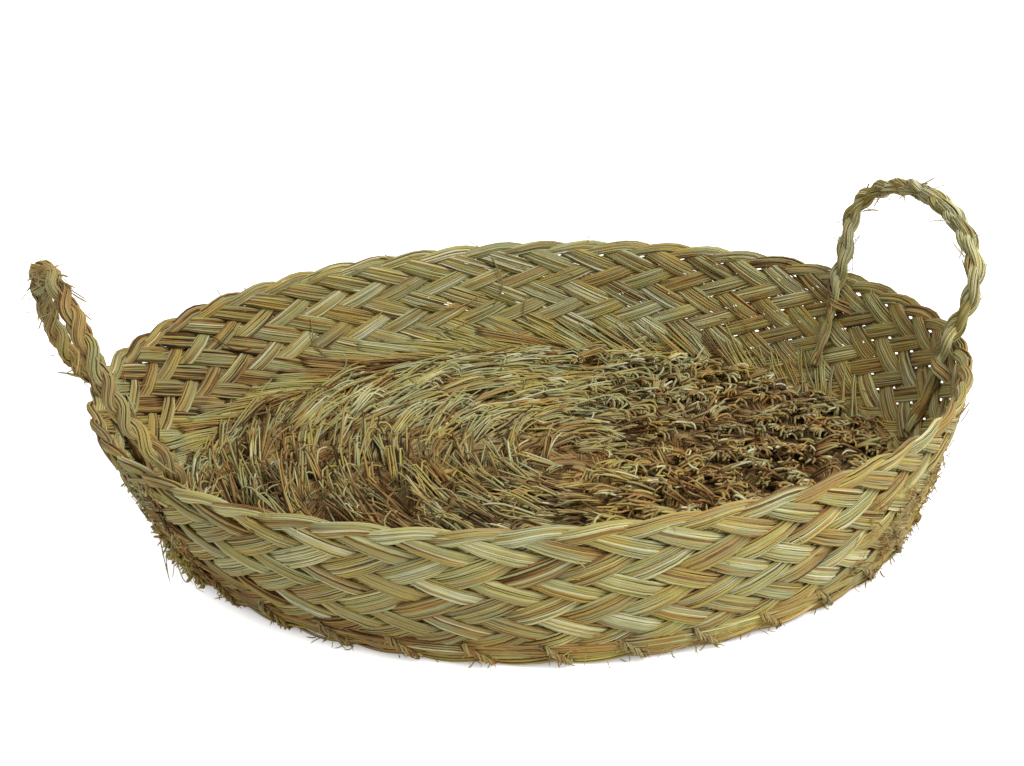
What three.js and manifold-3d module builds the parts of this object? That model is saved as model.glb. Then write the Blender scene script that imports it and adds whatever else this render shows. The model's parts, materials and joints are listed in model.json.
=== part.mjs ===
// Flat oval basket of plaited esparto grass, with a coiled floor and two braided rope handles.
// Millimetres, +Z up. The origin lies under the middle of the floor, on the surface that the
// basket stands on. +X runs along the long axis, to the right handle.
import * as THREE from 'three';
import { mergeVertices } from 'three/addons/utils/BufferGeometryUtils.js';
import Module from 'manifold-3d';

const wasm = await Module();
wasm.setup();

// Space left between pieces that touch on the real basket, and the facets round cords and strands
const CLEARANCE = 0.4;
const CORD_SIDES = 4;
const STRAND_SIDES = 5;

// Wall: one wide plait bent into an oval ring. Lengths and widths are at the middle of its thickness.
const RIM_LENGTH = 560;
const RIM_WIDTH = 484;
const FOOT_LENGTH = 480;
const FOOT_WIDTH = 462;
const RIM_HEIGHT = 87;
const RIM_ROUND = 3;
const WALL_BELLY = 3;
const PLAIT_CORE = 4.4;
const FLOAT_RISE = 1.8;
const FLOATS_ROUND = 52;
const FLOAT_ROWS = 6;

// Lap: the outer end of the wall plait, sewn over its beginning near the left handle
const LAP_START = 0.522;
const LAP_TURN = 0.024;
const LAP_THICKNESS = 3.5;
const LAP_LOW = 20;
const LAP_HIGH = 80;
const LAP_TEETH = 6;
const LAP_RAGGED = 0.004;

// Lacing: the cord that sews the floor to the wall's foot in slanting stitches
const LACING_DIAMETER = 3;
const LACING_STITCHES = 37;
const LACING_HEIGHT = 14;
const LACING_SLANT = 0.36;
const LACING_HOLE = 4;

// Floor: a narrow plait coiled flat, sewn turn to turn with a cord
const FLOOR_PLAIT_WIDTH = 26;
const FLOOR_PLAIT_TIP = 7;
const FLOOR_THICKNESS = 8;
const FLOOR_BEVEL = 2.5;
const FLOOR_STEPS = 26;
const FLOOR_TUCK = 0.18;
const FLOOR_END_ANGLE = Math.PI;
const SEWING_DIAMETER = 3;

// Loose straw ends: a row of tufts along each coil, low at its outer edge and high at its inner edge
const TUFT_LENGTH = 13;
const TUFT_ROOT = 9;
const TUFT_HOLLOW = 10.5;
const TUFT_CREST = 16.5;

// Handle rope: a braid of three strands
const STRAND_DIAMETER = 4.8;
const BRAID_SWING = 4.8;
const BRAID_LIFT = 4.4;
const BRAID_PERIOD = 46;
const BRAID_STEP = 5.4;
const LEG_BELOW = 2.2;
const HINGE_RISE = 3.6;
const HINGE_INSET = 9.0;
const BOW_PLACE = 1 / 3;
const TAIL_TOP = 7;
const TAIL_DEPTH = 64;
const TAIL_DRIFT = 5;

// Each handle: where its middle stands on the rim, its span between the legs, its height above
// the hinge line, how far it leans outwards, the swell of its legs, the width of its crown, and how
// far its first and its second leg bow outwards
const HANDLES = [
  { side: 'right', middle: -7.5, span: 148, rise: 79, lean: 14, swell: 4, crown: 40, bows: [1, 1] },
  { side: 'left', middle: 180, span: 132, rise: 104, lean: 23, swell: -10, crown: 34, bows: [10, 8] },
];

const ESPARTO = new THREE.MeshStandardMaterial({ color: 0x8e8a55, roughness: 0.85, metalness: 0 });
const FLOOR_ESPARTO = new THREE.MeshStandardMaterial({ color: 0x7d7446, roughness: 0.9, metalness: 0 });
const CORD_ESPARTO = new THREE.MeshStandardMaterial({ color: 0xa08a4e, roughness: 0.85, metalness: 0 });
const ROPE_ESPARTO = new THREE.MeshStandardMaterial({ color: 0x94894f, roughness: 0.85, metalness: 0 });

// Sizes that follow from the ones above
const WALL_FACE = PLAIT_CORE / 2 + FLOAT_RISE;
const WALL_FOOT = LACING_DIAMETER + 2 * CLEARANCE;
const WALL_TOP = RIM_HEIGHT - RIM_ROUND;
const LACING_OFFSET = WALL_FACE + CLEARANCE + LACING_DIAMETER / 2;
const FLOOR_INSET = LACING_OFFSET + (LACING_DIAMETER + CLEARANCE) / 2;
const FLOOR_LENGTH = FOOT_LENGTH - 2 * FLOOR_INSET;
const FLOOR_WIDTH = FOOT_WIDTH - 2 * FLOOR_INSET;
const FLOOR_GROOVE = SEWING_DIAMETER + 2 * CLEARANCE;
const FLOOR_PITCH = FLOOR_PLAIT_WIDTH + FLOOR_GROOVE;
const FLOOR_FIRST_TURN = (FLOOR_PLAIT_TIP + FLOOR_GROOVE) / FLOOR_PITCH;
const FLOOR_LAST_TURN = (FLOOR_WIDTH / 2 + FLOOR_PITCH / 4 + FLOOR_GROOVE / 2) / FLOOR_PITCH + FLOOR_TUCK;
const BRAID_DEPTH = BRAID_LIFT + STRAND_DIAMETER / 2;
const HINGE_HEIGHT = RIM_HEIGHT + HINGE_RISE;
const FLARE = Math.atan2((RIM_LENGTH - FOOT_LENGTH) / 2, WALL_TOP - WALL_FOOT);
const TAIL_OFFSET = WALL_FACE + (BRAID_DEPTH - CLEARANCE / 3) / Math.cos(FLARE);

const basket = new THREE.Group();

function addPiece(parent, name, geometry, material) {
  const mesh = new THREE.Mesh(geometry, material);
  mesh.name = name;
  parent.add(mesh);
}

function meshOf(points, triangles) {
  const geometry = new THREE.BufferGeometry().setFromPoints(points);
  geometry.setIndex(triangles);
  geometry.computeVertexNormals();
  return geometry;
}

function toSolid(geometry) {
  const bare = new THREE.BufferGeometry();
  bare.setAttribute('position', geometry.getAttribute('position'));
  bare.setIndex(geometry.getIndex());
  const merged = mergeVertices(bare, 1e-4);
  return new wasm.Manifold(new wasm.Mesh({
    numProp: 3,
    vertProperties: new Float32Array(merged.getAttribute('position').array),
    triVerts: new Uint32Array(merged.getIndex().array),
  }));
}

function fromSolid(solid) {
  const { vertProperties, triVerts } = solid.getMesh();
  const geometry = new THREE.BufferGeometry();
  geometry.setAttribute('position', new THREE.BufferAttribute(vertProperties, 3));
  geometry.setIndex(new THREE.BufferAttribute(triVerts, 1));
  geometry.computeVertexNormals();
  return geometry;
}

// A path that bends exactly at the given points
class PointPath extends THREE.Curve {
  constructor(points) {
    super();
    this.points = points;
  }

  getPoint(t) {
    const last = this.points.length - 1;
    const place = THREE.MathUtils.clamp(t, 0, 1) * last;
    const index = Math.min(Math.floor(place), last - 1);
    return this.points[index].clone().lerp(this.points[index + 1], place - index);
  }

  getPointAt(t) {
    return this.getPoint(t);
  }

  getTangentAt(t) {
    const step = 0.5 / (this.points.length - 1);
    return this.getPoint(t + step).sub(this.getPoint(t - step)).normalize();
  }
}

function cordAlong(points, diameter, sides) {
  const section = new THREE.Shape();
  for (let corner = 0; corner < sides; corner += 1) {
    const angle = 2 * Math.PI * corner / sides;
    const draw = corner === 0 ? 'moveTo' : 'lineTo';
    section[draw](diameter / 2 * Math.cos(angle), diameter / 2 * Math.sin(angle));
  }
  return new THREE.ExtrudeGeometry(section, { steps: points.length - 1, extrudePath: new PointPath(points) });
}

// A point of the wall: turn goes round it from 0 to 1, height from its foot to its top, offset outwards
function wallPoint(turn, height, offset) {
  const angle = 2 * Math.PI * turn;
  const halfLength = THREE.MathUtils.lerp(FOOT_LENGTH, RIM_LENGTH, height) / 2;
  const halfWidth = THREE.MathUtils.lerp(FOOT_WIDTH, RIM_WIDTH, height) / 2;
  const out = new THREE.Vector2(halfWidth * Math.cos(angle), halfLength * Math.sin(angle)).normalize();
  const reach = offset + WALL_BELLY * Math.sin(Math.PI * THREE.MathUtils.clamp(height, 0, 1));
  return new THREE.Vector3(
    halfLength * Math.cos(angle) + out.x * reach,
    halfWidth * Math.sin(angle) + out.y * reach,
    THREE.MathUtils.lerp(WALL_FOOT, WALL_TOP, height),
  );
}

function wallAt(turn, z, offset) {
  return wallPoint(turn, (z - WALL_FOOT) / (WALL_TOP - WALL_FOOT), offset);
}

// Wall plait: a two-over, two-under herringbone. Its crossings lie on a lattice of half pitches;
// each visible float covers two crossing cells and rises to a crest over their middle.
function wallPlait() {
  const columns = 2 * FLOATS_ROUND;
  const levels = 2 * FLOAT_ROWS + 1;
  const points = [];
  const triangles = [];
  const known = new Map();

  function vertex(face, column, level, offset, lift = 0) {
    const place = (column + columns) % columns;
    const key = `${face} ${place} ${level}`;
    if (!known.has(key)) {
      known.set(key, points.length);
      const point = wallPoint(place / columns, level / levels, offset);
      point.z += lift;
      points.push(point);
    }
    return known.get(key);
  }

  function face(corners, outwards) {
    triangles.push(...(outwards ? corners : corners.toReversed()));
  }

  for (const side of [1, -1]) {
    const low = (column, level) => vertex(side, column, level, side * PLAIT_CORE / 2);
    const ridge = (column, level) => vertex(side, column, level, side * WALL_FACE);
    for (let row = 0; row < FLOAT_ROWS; row += 1) {
      const slant = (row % 2 === 0 ? 1 : -1) * side;
      for (let float = 0; float < FLOATS_ROUND; float += 1) {
        const column = 2 * float;
        const level = 2 * row + 1;
        const crest = ridge(column + slant / 2, level + 0.5);
        const rim = [
          low(column - slant, level),
          low(column, level - 1),
          low(column + slant, level),
          low(column + 2 * slant, level + 1),
          low(column + slant, level + 2),
          low(column, level + 1),
        ];
        const outwards = slant * side > 0;
        rim.forEach((corner, index) => face([corner, rim[(index + 1) % rim.length], crest], outwards));
      }
    }
    for (let float = 0; float < FLOATS_ROUND; float += 1) {
      const column = 2 * float;
      face([low(column, 0), low(column + 2, 0), low(column + 1, 1)], side > 0);
      face([low(column - 1, levels), low(column, levels - 1), low(column + 1, levels)], side > 0);
    }
  }

  for (let float = 0; float < FLOATS_ROUND; float += 1) {
    const column = 2 * float;
    const foot = [1, -1].map((side) => [0, 2].map((step) => vertex(side, column + step, 0, 0)));
    face([foot[1][0], foot[1][1], foot[0][0]], true);
    face([foot[0][0], foot[1][1], foot[0][1]], true);
    const edge = [-1, 1].map((step) => column + step);
    const crown = edge.map((place) => vertex(0, place, levels, 0, RIM_ROUND));
    for (const side of [1, -1]) {
      const shoulder = edge.map((place) => vertex(side, place, levels, 0));
      face([shoulder[0], shoulder[1], crown[0]], side > 0);
      face([crown[0], shoulder[1], crown[1]], side > 0);
    }
  }

  let wall = toSolid(meshOf(points, triangles));
  for (let stitch = 0; stitch < LACING_STITCHES; stitch += 1) {
    const turn = stitch / LACING_STITCHES;
    const hole = new THREE.BoxGeometry(4 * WALL_FACE, LACING_HOLE, LACING_HOLE);
    const middle = wallAt(turn, LACING_HEIGHT, 0);
    const out = wallAt(turn, LACING_HEIGHT, 1).sub(middle);
    hole.rotateZ(Math.atan2(out.y, out.x));
    hole.translate(middle.x, middle.y, middle.z);
    wall = wall.subtract(toSolid(hole));
  }
  return fromSolid(wall);
}

// Lap: a curved patch on the wall's outside, with ragged ends where the bundles are cut
function wallLap() {
  const points = [];
  const triangles = [];
  const rows = 2 * LAP_TEETH;
  const inside = WALL_FACE + CLEARANCE;
  for (let row = 0; row <= rows; row += 1) {
    const z = THREE.MathUtils.lerp(LAP_LOW, LAP_HIGH, row / rows);
    const ragged = row % 2 === 0 ? 0 : LAP_RAGGED;
    const turns = [LAP_START - ragged, LAP_START + LAP_TURN / 2, LAP_START + LAP_TURN + ragged];
    turns.forEach((turn) => points.push(wallAt(turn, z, inside)));
    turns.forEach((turn) => points.push(wallAt(turn, z, inside + LAP_THICKNESS)));
  }
  const loop = [0, 1, 2, 5, 4, 3];
  for (let row = 0; row < rows; row += 1) {
    loop.forEach((corner, index) => {
      const low = row * 6;
      const high = low + 6;
      const next = loop[(index + 1) % loop.length];
      triangles.push(low + corner, high + corner, low + next, low + next, high + corner, high + next);
    });
  }
  const top = rows * 6;
  for (const [a, b, c, d] of [[0, 1, 4, 3], [1, 2, 5, 4]]) {
    triangles.push(a, b, c, a, c, d);
    triangles.push(top + c, top + b, top + a, top + d, top + c, top + a);
  }
  return meshOf(points, triangles);
}

// Lacing: in through the wall, slanting down its outside, under its foot and up the inside again
function footLacing() {
  const bottom = WALL_FOOT / 2;
  const middle = (LACING_HEIGHT + bottom) / 2;
  const points = [];
  for (let stitch = 0; stitch < LACING_STITCHES; stitch += 1) {
    const at = (slant, z, offset) => {
      points.push(wallAt((stitch + slant) / LACING_STITCHES, z, offset));
    };
    at(0, LACING_HEIGHT, -LACING_OFFSET);
    at(0, LACING_HEIGHT, 0);
    at(0, LACING_HEIGHT, LACING_OFFSET);
    at(LACING_SLANT / 2, middle, LACING_OFFSET);
    at(LACING_SLANT, bottom, LACING_OFFSET);
    at(LACING_SLANT, bottom, -LACING_OFFSET);
    at((1 + LACING_SLANT) / 2, middle, -LACING_OFFSET);
  }
  return cordAlong(points, LACING_DIAMETER, CORD_SIDES);
}

// A point of the floor: turn counts the coils inwards, inset is the distance in from the floor's edge
function floorPoint(turn, inset, z) {
  const angle = FLOOR_END_ANGLE + 2 * Math.PI * (turn - FLOOR_LAST_TURN);
  return new THREE.Vector3(
    (FLOOR_LENGTH / 2 - inset) * Math.cos(angle),
    (FLOOR_WIDTH / 2 - inset) * Math.sin(angle),
    z,
  );
}

// Floor plait: starts as a narrow tip against the wall and coils in to the middle, rough side up
function floorPlait() {
  const rings = [];
  const steps = Math.floor((FLOOR_LAST_TURN - FLOOR_FIRST_TURN) * FLOOR_STEPS);
  for (let step = 0; step <= steps; step += 1) {
    const turn = FLOOR_LAST_TURN - (steps - step) / FLOOR_STEPS;
    const outer = Math.max(0, FLOOR_PITCH * (turn - 1));
    const inner = Math.min(FLOOR_PITCH * turn - FLOOR_GROOVE, FLOOR_LENGTH / 2 - CLEARANCE);
    const bevel = Math.min(FLOOR_BEVEL, (inner - outer) / 3);
    rings.push([
      floorPoint(turn, outer, FLOOR_THICKNESS / 2),
      floorPoint(turn, outer + bevel, 0),
      floorPoint(turn, inner - bevel, 0),
      floorPoint(turn, inner, FLOOR_THICKNESS / 2),
      floorPoint(turn, inner - bevel, TUFT_HOLLOW),
      floorPoint(turn, outer + bevel, TUFT_ROOT),
    ]);
  }

  const slices = [];
  for (let step = 0; step < steps; step += 1) {
    const ring = rings[step];
    const next = rings[step + 1];
    const cuts = Math.max(1, Math.round(ring[4].distanceTo(next[4]) / TUFT_LENGTH));
    for (let cut = 0; cut < cuts; cut += 1) {
      const slice = ring.map((point, corner) => point.clone().lerp(next[corner], cut / cuts));
      slice[4].z = slices.length % 2 === 1 ? TUFT_CREST : TUFT_HOLLOW;
      slices.push(slice);
    }
  }
  slices.push(rings[steps]);

  const triangles = [];
  for (let slice = 0; slice < slices.length - 1; slice += 1) {
    for (let corner = 0; corner < 6; corner += 1) {
      const next = (corner + 1) % 6;
      const near = slice * 6;
      const far = near + 6;
      triangles.push(near + corner, near + next, far + corner, near + next, far + next, far + corner);
    }
  }
  const end = (slices.length - 1) * 6;
  for (let corner = 1; corner < 5; corner += 1) {
    triangles.push(0, corner + 1, corner);
    triangles.push(end + corner, end + corner + 1, end);
  }
  return meshOf(slices.flat(), triangles);
}

// Sewing cord: lies in the groove between one coil of the floor and the next
function floorSewingCord() {
  const points = [];
  const steps = Math.floor((FLOOR_LAST_TURN - 1 - FLOOR_FIRST_TURN) * FLOOR_STEPS);
  for (let step = 0; step <= steps; step += 1) {
    const turn = FLOOR_LAST_TURN - 1 - (steps - step) / FLOOR_STEPS;
    points.push(floorPoint(turn, FLOOR_PITCH * turn - FLOOR_GROOVE / 2, FLOOR_THICKNESS / 2));
  }
  return cordAlong(points, SEWING_DIAMETER, CORD_SIDES);
}

// One strand of a braid: it swings from side to side and passes over and under the other two.
// Its first and last steps run straight, so that its ends are square to the rope.
function braidStrand(frames, length, strand) {
  const last = frames.length - 1;
  const points = frames.map(({ point, across, over }, index) => {
    const beat = THREE.MathUtils.clamp(index, 1, last - 1) / last;
    const phase = 2 * Math.PI * (length / BRAID_PERIOD * beat + strand / 3);
    return point.clone()
      .addScaledVector(across, BRAID_SWING * Math.sin(phase))
      .addScaledVector(over, BRAID_LIFT * Math.sin(2 * phase));
  });
  return cordAlong(points, STRAND_DIAMETER, STRAND_SIDES);
}

// Handle arch in its own plane: x along the hinge line, y up. Its legs end just below that line.
function archPath({ span, rise, swell, crown }) {
  const leg = span / 2;
  const knee = leg + swell;
  const path = new THREE.Path();
  path.moveTo(-leg, -LEG_BELOW);
  path.lineTo(-leg, LEG_BELOW);
  path.bezierCurveTo(-leg, rise / 4, -knee, rise / 4, -knee, rise / 2);
  path.bezierCurveTo(-knee, rise * 0.75, -crown, rise, 0, rise);
  path.bezierCurveTo(crown, rise, knee, rise * 0.75, knee, rise / 2);
  path.bezierCurveTo(knee, rise / 4, leg, rise / 4, leg, LEG_BELOW);
  path.lineTo(leg, -LEG_BELOW);
  return path;
}

function archFrames(handle) {
  const path = archPath(handle);
  const length = Math.round(path.getLength() / BRAID_PERIOD) * BRAID_PERIOD;
  const steps = Math.round(length / BRAID_STEP);
  const frames = [];
  for (let step = 0; step <= steps; step += 1) {
    const t = step / steps;
    const place = path.getPointAt(t);
    const along = path.getTangentAt(t);
    const climb = 1 - Math.abs(2 * t - 1);
    const bow = handle.bows[t < 0.5 ? 0 : 1]
      * (climb / BOW_PLACE) ** 1.5 * ((1 - climb) / (1 - BOW_PLACE)) ** 3;
    frames.push({
      point: new THREE.Vector3(place.x, place.y, bow),
      across: new THREE.Vector3(-along.y, along.x, 0),
      over: new THREE.Vector3(0, 0, 1),
    });
  }
  return { frames, length };
}

// Rope tail: carries on below a leg and runs down the inside of the wall
function tailFrames(turn, way) {
  const depth = (share) => wallAt(
    turn + way * share * TAIL_DRIFT / (Math.PI * RIM_WIDTH),
    THREE.MathUtils.lerp(RIM_HEIGHT - TAIL_TOP, RIM_HEIGHT - TAIL_DEPTH, share),
    -TAIL_OFFSET,
  );
  const curve = new THREE.CatmullRomCurve3([0, 1 / 3, 2 / 3, 1].map(depth), false, 'centripetal');
  const length = curve.getLength();
  const steps = Math.round(length / BRAID_STEP);
  const outwards = wallPoint(turn, 1, 1).sub(wallPoint(turn, 1, 0));
  const frames = curve.getSpacedPoints(steps).map((point, index) => {
    const along = curve.getTangentAt(index / steps);
    const across = new THREE.Vector3().crossVectors(along, outwards).normalize();
    return { point, across, over: new THREE.Vector3().crossVectors(across, along) };
  });
  return { frames, length };
}

function addHandle(handle) {
  const rim = wallPoint(handle.middle / 360, 1, 0);
  const out = wallPoint(handle.middle / 360, 1, 1).sub(rim);
  const up = new THREE.Vector3(0, 0, 1);
  const along = new THREE.Vector3().crossVectors(up, out).normalize();
  const legTurn = Math.asin(handle.span / RIM_WIDTH) / (2 * Math.PI);
  const feet = [-1, 1].map((way) => wallPoint(handle.middle / 360 + way * legTurn, 1, -HINGE_INSET));
  const hinge = feet[0].clone().add(feet[1]).multiplyScalar(0.5).setZ(HINGE_HEIGHT);

  const loop = new THREE.Group();
  loop.position.copy(hinge);
  const lean = THREE.MathUtils.degToRad(handle.lean);
  const rising = up.clone().multiplyScalar(Math.cos(lean)).addScaledVector(out, Math.sin(lean));
  const facing = new THREE.Vector3().crossVectors(along, rising);
  loop.quaternion.setFromRotationMatrix(new THREE.Matrix4().makeBasis(along, rising, facing));
  basket.add(loop);

  const arch = archFrames(handle);
  for (let strand = 0; strand < 3; strand += 1) {
    const name = `${handle.side}_handle_strand_${strand + 1}`;
    addPiece(loop, name, braidStrand(arch.frames, arch.length, strand), ROPE_ESPARTO);
  }

  for (const [way, end] of [[-1, 'first'], [1, 'second']]) {
    const tail = tailFrames(handle.middle / 360 + way * legTurn, way);
    for (let strand = 0; strand < 3; strand += 1) {
      const name = `${handle.side}_${end}_tail_strand_${strand + 1}`;
      addPiece(basket, name, braidStrand(tail.frames, tail.length, strand), ROPE_ESPARTO);
    }
  }
  console.log(handle.side, 'hinge', hinge.toArray().map((value) => value.toFixed(2)).join(' '),
    'axis', along.toArray().map((value) => value.toFixed(4)).join(' '));
}

addPiece(basket, 'wall_plait', wallPlait(), ESPARTO);
addPiece(basket, 'wall_lap', wallLap(), ESPARTO);
addPiece(basket, 'floor_plait', floorPlait(), FLOOR_ESPARTO);
addPiece(basket, 'floor_sewing_cord', floorSewingCord(), CORD_ESPARTO);
addPiece(basket, 'foot_lacing', footLacing(), CORD_ESPARTO);
HANDLES.forEach(addHandle);

export default basket;
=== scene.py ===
# %% [markdown]
# # A flat basket of plaited esparto grass
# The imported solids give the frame: where the wall, the floor, the cords and the two rope handles
# are, and which of them move. Every strand of the real basket is a bundle of dry grass straws, so
# this lesson builds the basket out of straws and lets them stand for the solids.

# %% Load the frame
import json
import math

import bmesh
import bpy
import numpy as np
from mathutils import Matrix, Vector


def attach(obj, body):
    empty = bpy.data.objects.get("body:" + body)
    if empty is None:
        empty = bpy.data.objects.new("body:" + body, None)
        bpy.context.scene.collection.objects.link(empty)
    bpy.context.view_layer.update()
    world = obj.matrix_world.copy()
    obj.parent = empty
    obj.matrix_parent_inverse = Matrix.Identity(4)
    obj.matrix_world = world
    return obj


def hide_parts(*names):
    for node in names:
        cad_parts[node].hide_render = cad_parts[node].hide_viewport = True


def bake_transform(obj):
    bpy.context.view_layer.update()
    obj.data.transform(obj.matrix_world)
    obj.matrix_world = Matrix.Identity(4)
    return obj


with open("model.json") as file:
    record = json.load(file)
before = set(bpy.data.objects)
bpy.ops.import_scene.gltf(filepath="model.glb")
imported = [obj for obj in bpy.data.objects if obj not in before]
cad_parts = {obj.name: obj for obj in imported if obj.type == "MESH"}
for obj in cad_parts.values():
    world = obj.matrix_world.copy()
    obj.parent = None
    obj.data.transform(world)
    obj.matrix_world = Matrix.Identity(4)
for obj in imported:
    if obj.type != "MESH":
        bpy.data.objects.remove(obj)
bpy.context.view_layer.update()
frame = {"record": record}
MM = 0.001

# %% [markdown]
# ## Camera
# The camera comes first, because every later choice is judged through it. Its place was fitted to
# the ovals of rim and foot in the photograph: about a metre away, 25 degrees up, the basket's long
# axis turned 28 degrees. A small shift puts the basket where the photograph has it in the frame.

# %% Set up the camera
PHOTO_WIDTH, PHOTO_HEIGHT = 1024, 766
FOCAL_PIXELS = 1700
SENSOR = 36
CAMERA_PLACE = Vector((-0.477, -0.902, 0.469))
ORIGIN_PIXEL = (542, 481)


def add_object(name, data):
    """A new object in the scene."""
    made = bpy.data.objects.new(name, data)
    bpy.context.scene.collection.objects.link(made)
    return made


def add_facing(name, data, place):
    """A new object at a place, turned to look at the origin."""
    made = add_object(name, data)
    made.location = place
    made.rotation_euler = (-place).to_track_quat("-Z", "Y").to_euler()
    return made


camera_data = bpy.data.cameras.new("camera")
camera_data.sensor_width = SENSOR
camera_data.lens = FOCAL_PIXELS / PHOTO_WIDTH * SENSOR
camera_data.shift_x = (PHOTO_WIDTH / 2 - ORIGIN_PIXEL[0]) / PHOTO_WIDTH
camera_data.shift_y = (ORIGIN_PIXEL[1] - PHOTO_HEIGHT / 2) / PHOTO_WIDTH
bpy.context.scene.camera = add_facing("camera", camera_data, CAMERA_PLACE)
print("lens", round(camera_data.lens, 1), "mm")

# %% [markdown]
# ## Light and floor
# The photograph is a catalogue picture on white, with soft light from all round, more of it from
# above and the right, and hardly any shadow. A pale world does most of it, a wide lamp gives the
# straws a lit side, and together they add up to about one, so that a colour renders about as it is
# written. White paper is lifted to white where the camera sees it, but not under the basket.

# %% Light the studio
WORLD_STRENGTH = 0.50
KEY_POWER = 26
KEY_PLACE = Vector((0.42, -0.95, 1.5))
KEY_SIZE = 1.0
FLOOR_SIZE = 12
PAPER_ROUGHNESS = 0.9
PAPER_LIFT = 0.85
SHADED_LENGTH, SHADED_WIDTH = 0.238, 0.229
SHADED_EDGE = (0.98, 1.06)


def linear(code):
    """An sRGB hex colour as the linear colour that the shaders use."""
    parts = [int(code[i:i + 2], 16) / 255 for i in (1, 3, 5)]
    return tuple(c / 12.92 if c <= 0.04045 else ((c + 0.055) / 1.055) ** 2.4 for c in parts) + (1.0,)


def feed(tree, node, inputs):
    """Sets a node's inputs; each is a value, or the socket that feeds it."""
    for name, value in dict(inputs).items():
        if isinstance(value, bpy.types.NodeSocket):
            tree.links.new(value, node.inputs[name])
        else:
            node.inputs[name].default_value = value


def add_node(tree, kind, inputs=(), **settings):
    """One node with its settings and inputs."""
    made = tree.nodes.new("ShaderNode" + kind)
    for name, value in settings.items():
        setattr(made, name, value)
    feed(tree, made, inputs)
    return made


def maths(tree, operation, *values, clamped=False):
    """The outcome of one sum in a node tree; each value is a number or a socket."""
    return add_node(tree, "Math", dict(enumerate(values)), operation=operation,
                    use_clamp=clamped).outputs[0]


def seen_directly(tree):
    """One for rays from the camera or by way of gloss and glass, nought for the light on the object."""
    rays = add_node(tree, "LightPath").outputs
    gloss = maths(tree, "MAXIMUM", rays["Is Glossy Ray"], rays["Is Transmission Ray"])
    return maths(tree, "MAXIMUM", rays["Is Camera Ray"], gloss)


world = bpy.data.worlds.new("studio")
world.use_nodes = True
tree = world.node_tree
tree.nodes.clear()
glow, white = (add_node(tree, "Background", {"Color": linear("#FFFFFF"), "Strength": strength})
               for strength in (WORLD_STRENGTH, 1.0))
seen = add_node(tree, "MixShader",
                {"Fac": seen_directly(tree), 1: glow.outputs[0], 2: white.outputs[0]})
add_node(tree, "OutputWorld", {"Surface": seen.outputs[0]})
bpy.context.scene.world = world
bpy.context.scene.view_settings.view_transform = "Standard"

lamp_data = bpy.data.lights.new("key", "AREA")
lamp_data.energy = KEY_POWER
lamp_data.size = KEY_SIZE
add_facing("key", lamp_data, KEY_PLACE)

paper = bpy.data.materials.new("white paper sweep")
paper.use_nodes = True
tree = paper.node_tree
ground = add_node(tree, "TexCoord")
footprint = add_node(tree, "Mapping", {
    "Vector": ground.outputs["Object"], "Scale": (1 / SHADED_LENGTH, 1 / SHADED_WIDTH, 0)})
far_out = add_node(tree, "VectorMath", {0: footprint.outputs[0]}, operation="LENGTH")
open_ground = add_node(tree, "MapRange", {
    "Value": far_out.outputs["Value"], "From Min": SHADED_EDGE[0], "From Max": SHADED_EDGE[1],
    "To Max": PAPER_LIFT})
feed(tree, tree.nodes["Principled BSDF"], {
    "Base Color": linear("#FCFCFC"), "Roughness": PAPER_ROUGHNESS, "Specular IOR Level": 0.0,
    "Emission Color": linear("#FFFFFF"),
    "Emission Strength": maths(tree, "MULTIPLY", seen_directly(tree), open_ground.outputs[0])})

floor_mesh = bpy.data.meshes.new("studio_floor")
bm = bmesh.new()
bmesh.ops.create_grid(bm, x_segments=1, y_segments=1, size=FLOOR_SIZE / 2)
bm.to_mesh(floor_mesh)
bm.free()
floor_mesh.materials.append(paper)
studio_floor = add_object("studio_floor", floor_mesh)
print("studio ready")

# %% [markdown]
# ## Dry esparto
# Esparto is a wiry grass whose leaf rolls into a straw about 1.4 mm thick. Dried, it is matt to
# slightly waxy, and runs from sage green over olive and straw yellow to rust brown, never two straws
# alike. So each straw carries two numbers. Its tone runs from dark brown to pale, and its warmth mixes
# two colour ramps, grey sage and yellow straw. A patchy noise ages the straw along its length, a wider
# one lets whole strands lean to sage or to straw, and a fine one gives the leaf's ribs a little bump.
# Near the ground the wall's grass is yellower.

# %% Make the esparto material
# Each row has a tone and its colour in sage and in straw.
SAGE, STRAW = 1, 2
GRASS_COLOURS = [
    (0.00, "#2E2110", "#341F06"),
    (0.14, "#68512F", "#754E23"),
    (0.28, "#917C52", "#A37B44"),
    (0.42, "#A4976A", "#B99A56"),
    (0.56, "#9C9B6C", "#B29B50"),
    (0.70, "#A7A97C", "#B2A656"),
    (0.84, "#BEBE96", "#C8BC76"),
    (1.00, "#D9D6B8", "#DFD498"),
]
PATCH_SIZE, PATCH_DRIFT = 18 * MM, 0.30
FIELD_SIZE, FIELD_DRIFT = 30 * MM, 2.0
RIB_SIZE, RIB_HEIGHT, RIB_STRENGTH = 0.9 * MM, 0.3 * MM, 0.25
WAX = 0.25
FOOT_ZONE = (4 * MM, 24 * MM)


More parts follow.
